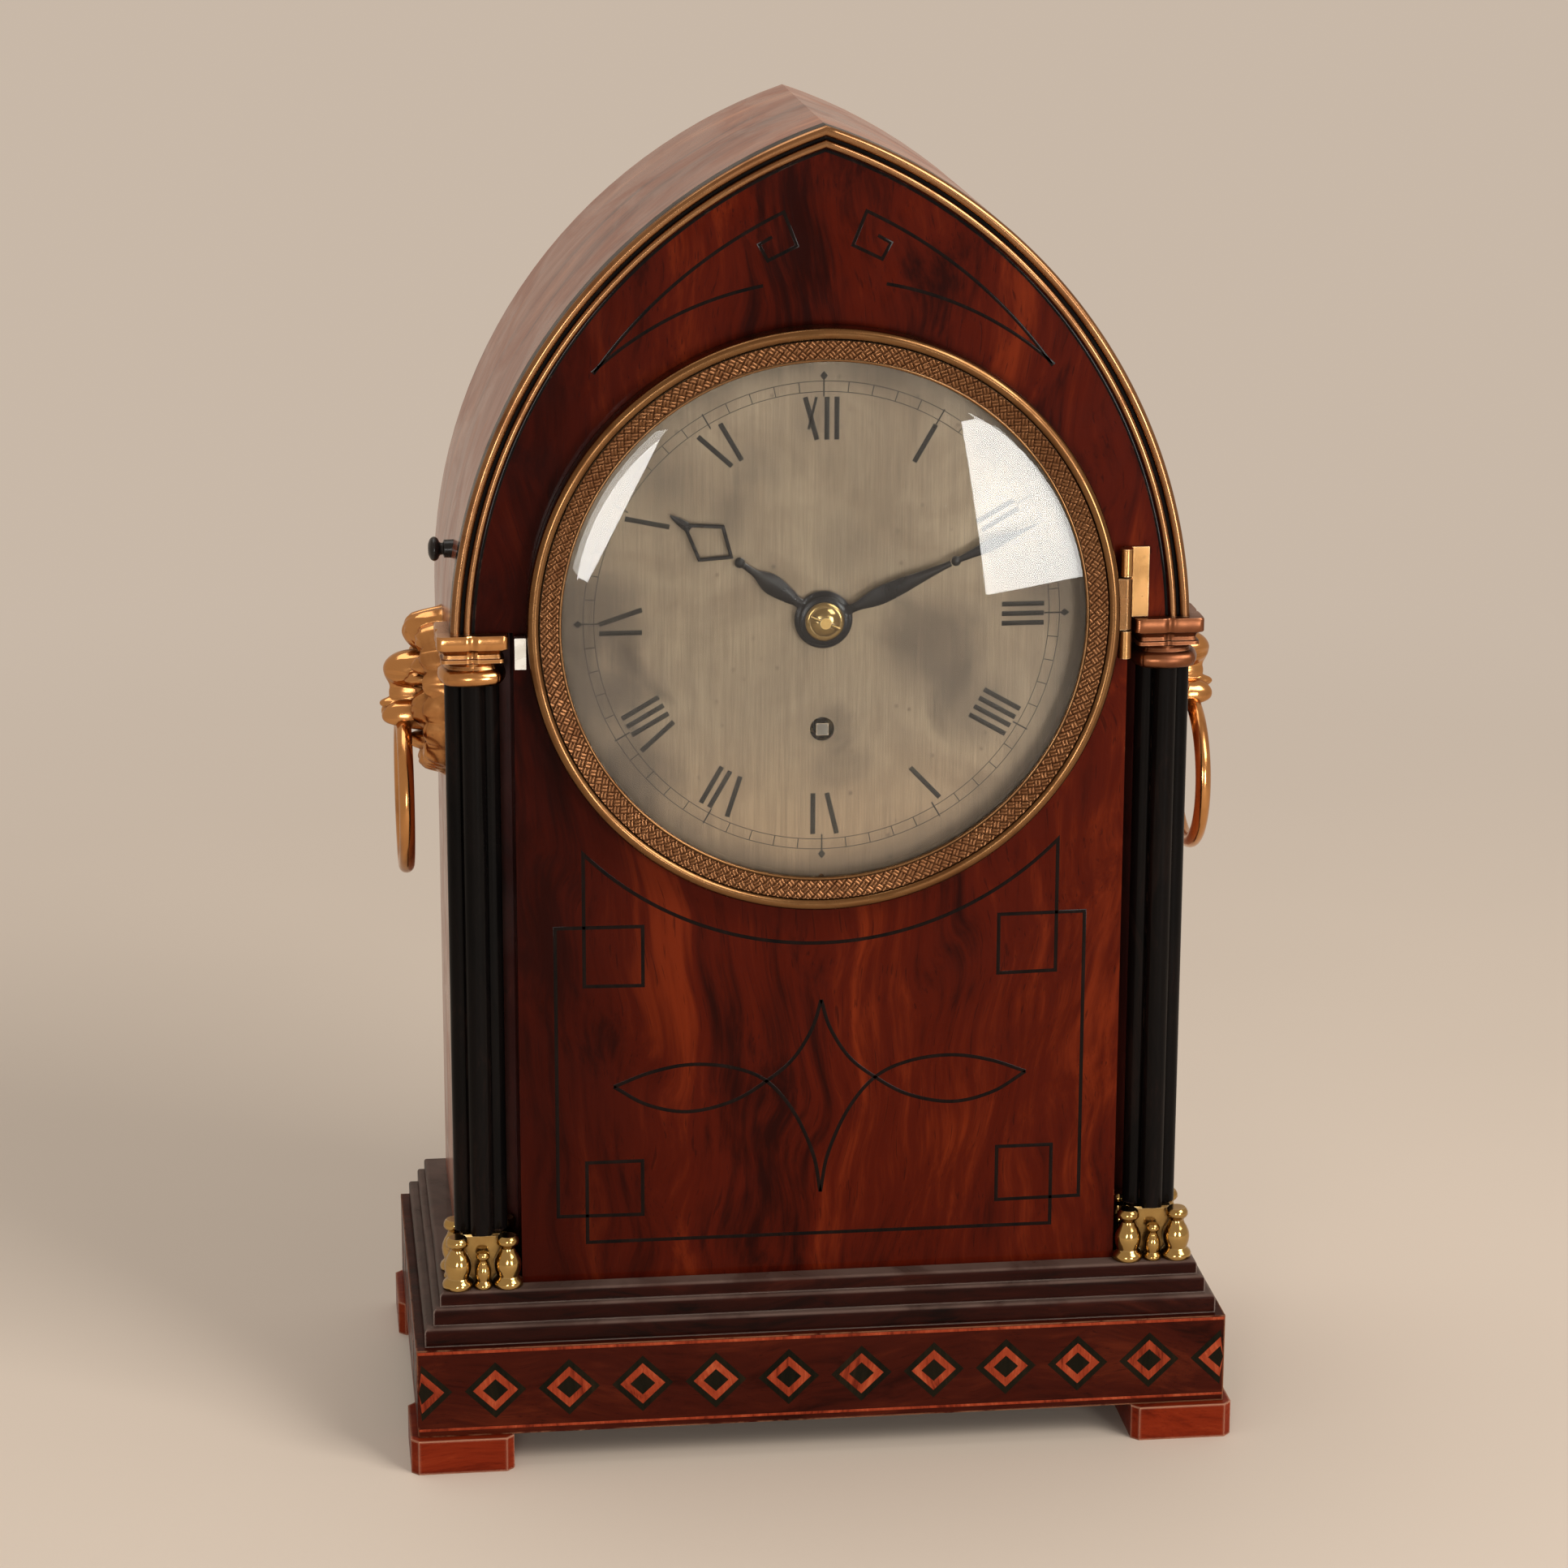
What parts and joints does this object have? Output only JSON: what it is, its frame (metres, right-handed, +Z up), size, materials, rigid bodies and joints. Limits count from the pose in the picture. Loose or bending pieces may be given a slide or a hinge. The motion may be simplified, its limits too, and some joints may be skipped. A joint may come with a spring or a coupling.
{
  "type": "lancet clock",
  "caption": "Lancet-arched mahogany table clock with a round silvered dial, corner columns, lion-mask ring handles and a fusee timepiece movement.",
  "frame": {"origin": "on the table, under the middle of the base", "axes": "+X to the viewer's right, +Y to the back, +Z up; the dial faces -Y"},
  "size_m": [0.249, 0.1344, 0.3902],
  "materials": {
    "mahogany": "french polished flame mahogany veneer",
    "plinth_wood": "french polished mahogany with inlaid lozenges",
    "foot_wood": "polished mahogany, worn pale at the edges",
    "ebonised_wood": "ebonised wood, worn to brown along the edges",
    "gilt_brass": "cast and lacquered brass, toned in the hollows",
    "case_brass": "turned and engine-turned brass",
    "silvered_dial": "silvered brass, vertically grained, with dark spots",
    "steel_catch": "bright steel",
    "knob_ebony": "turned black knob",
    "glass": "clear glass",
    "pine": "plain softwood, aged",
    "movement_brass": "polished brass",
    "steel": "steel",
    "blued_steel": "blued steel, almost black",
    "gut": "gut line"
  },
  "bodies": {
    "case": {"foot_front_left": "foot_wood", "foot_front_right": "foot_wood", "foot_rear_left": "foot_wood", "foot_rear_right": "foot_wood", "plinth": "plinth_wood", "step_lower": "ebonised_wood", "step_middle": "ebonised_wood", "step_upper": "ebonised_wood", "front_panel": "mahogany", "shell_left": "mahogany", "shell_right": "mahogany", "corner_posts": "mahogany", "arch_mouldings": "ebonised_wood", "arch_beads": "gilt_brass", "column_left": "ebonised_wood", "column_right": "ebonised_wood", "capital_left": "gilt_brass", "capital_right": "gilt_brass", "column_base_left": "gilt_brass", "column_base_right": "gilt_brass", "lion_mask_left": "gilt_brass", "lion_mask_right": "gilt_brass", "side_knob": "knob_ebony", "dial": "silvered_dial", "dial_screws": "case_brass", "bezel_hinge": "case_brass", "back_frame": "mahogany", "back_door_hinges": "case_brass", "seat_board": "pine", "seat_bearers": "pine", "front_plate": "movement_brass", "back_plate": "movement_brass", "plate_pillars": "movement_brass", "back_cock": "movement_brass", "gut_line": "gut"},
    "bezel": {"bezel": "case_brass", "bezel_glass": "glass"},
    "bezel_catch": {"bezel_catch": "steel_catch"},
    "back_door": {"back_door": "mahogany", "back_door_glass": "glass", "back_door_leaves": "case_brass"},
    "back_door_knob": {"back_door_knob": "case_brass"},
    "ring_left": {"ring_left": "gilt_brass"},
    "ring_right": {"ring_right": "gilt_brass"},
    "minute_hand": {"minute_hand": "blued_steel", "cannon_wheel": "movement_brass", "hand_collet": "movement_brass"},
    "hour_hand": {"hour_hand": "blued_steel", "hour_wheel": "movement_brass"},
    "minute_wheel": {"minute_wheel": "movement_brass"},
    "centre_arbor": {"centre_wheel": "movement_brass"},
    "great_wheel": {"great_wheel": "movement_brass"},
    "fusee": {"fusee": "movement_brass"},
    "barrel": {"barrel": "movement_brass"},
    "third_arbor": {"third_wheel": "movement_brass"},
    "escape_arbor": {"escape_wheel": "movement_brass"},
    "anchor": {"anchor": "steel"},
    "pendulum": {"pendulum_rod": "steel", "pendulum_bob": "movement_brass", "rating_nut": "movement_brass"}
  },
  "joints": [
    {"name": "bezel_hinge", "type": "hinge", "parent": "case", "child": "bezel", "pos_m": [0.0867, -0.0535, 0.2504], "axis": [0, 0, 1], "range_deg": [0, 90]},
    {"name": "bezel_catch_press", "type": "slide", "parent": "case", "child": "bezel_catch", "axis": [0, 1, 0], "range_m": [0, 0.0015], "stiffness_N_per_m": 400, "springref_m": -0.0005},
    {"name": "back_door_hinge", "type": "hinge", "parent": "case", "child": "back_door", "pos_m": [0.07, 0.051, 0.2504], "axis": [0, 0, -1], "range_deg": [0, 110]},
    {"name": "back_door_latch", "type": "hinge", "parent": "back_door", "child": "back_door_knob", "pos_m": [-0.061, 0.0491, 0.1874], "axis": [0, 1, 0], "range_deg": [0, 90]},
    {"name": "ring_left_swing", "type": "hinge", "parent": "case", "child": "ring_left", "pos_m": [-0.118, 0, 0.211], "axis": [0, 1, 0], "range_deg": [-6, 105]},
    {"name": "ring_right_swing", "type": "hinge", "parent": "case", "child": "ring_right", "pos_m": [0.118, 0, 0.211], "axis": [0, -1, 0], "range_deg": [-6, 105]},
    {"name": "minute_hand_turn", "type": "hinge", "parent": "case", "child": "minute_hand", "pos_m": [0, 0, 0.2504], "axis": [0, 1, 0], "continuous": true},
    {"name": "hour_hand_turn", "type": "hinge", "parent": "case", "child": "hour_hand", "pos_m": [0, 0, 0.2504], "axis": [0, 1, 0], "continuous": true},
    {"name": "minute_wheel_turn", "type": "hinge", "parent": "case", "child": "minute_wheel", "pos_m": [-0.018, 0, 0.2504], "axis": [0, 1, 0], "continuous": true},
    {"name": "third_wheel_turn", "type": "hinge", "parent": "case", "child": "third_arbor", "pos_m": [0.0143, 0, 0.26809], "axis": [0, 1, 0], "continuous": true},
    {"name": "centre_wheel_turn", "type": "hinge", "parent": "case", "child": "centre_arbor", "pos_m": [0, 0, 0.2504], "axis": [0, 1, 0], "continuous": true},
    {"name": "escape_wheel_turn", "type": "hinge", "parent": "case", "child": "escape_arbor", "pos_m": [0, 0, 0.28079], "axis": [0, 1, 0], "continuous": true},
    {"name": "great_wheel_turn", "type": "hinge", "parent": "case", "child": "great_wheel", "pos_m": [0, 0, 0.2179], "axis": [0, 1, 0], "continuous": true},
    {"name": "fusee_wind", "type": "hinge", "parent": "great_wheel", "child": "fusee", "pos_m": [0, 0, 0.2179], "axis": [0, 1, 0], "range_deg": [0, 5760]},
    {"name": "barrel_wind", "type": "hinge", "parent": "case", "child": "barrel", "pos_m": [-0.024, 0, 0.1739], "axis": [0, 1, 0], "range_deg": [0, 3600]},
    {"name": "pendulum_swing", "type": "hinge", "parent": "case", "child": "pendulum", "pos_m": [0, 0, 0.30059], "axis": [0, 1, 0], "range_deg": [-3.5, 3.5]},
    {"name": "anchor_rock", "type": "hinge", "parent": "case", "child": "anchor", "pos_m": [0, 0, 0.30059], "axis": [0, 1, 0], "range_deg": [-3.5, 3.5]}
  ],
  "couplings": [
    {"joint": "hour_hand_turn", "follows": "minute_hand_turn", "ratio": 0.083333},
    {"joint": "minute_wheel_turn", "follows": "minute_hand_turn", "ratio": -1},
    {"joint": "centre_wheel_turn", "follows": "third_wheel_turn", "ratio": -0.083333},
    {"joint": "escape_wheel_turn", "follows": "third_wheel_turn", "ratio": -11.143},
    {"joint": "great_wheel_turn", "follows": "third_wheel_turn", "ratio": 0.0069444},
    {"joint": "barrel_wind", "follows": "fusee_wind", "ratio": 0.6},
    {"joint": "anchor_rock", "follows": "pendulum_swing", "ratio": 1}
  ]
}
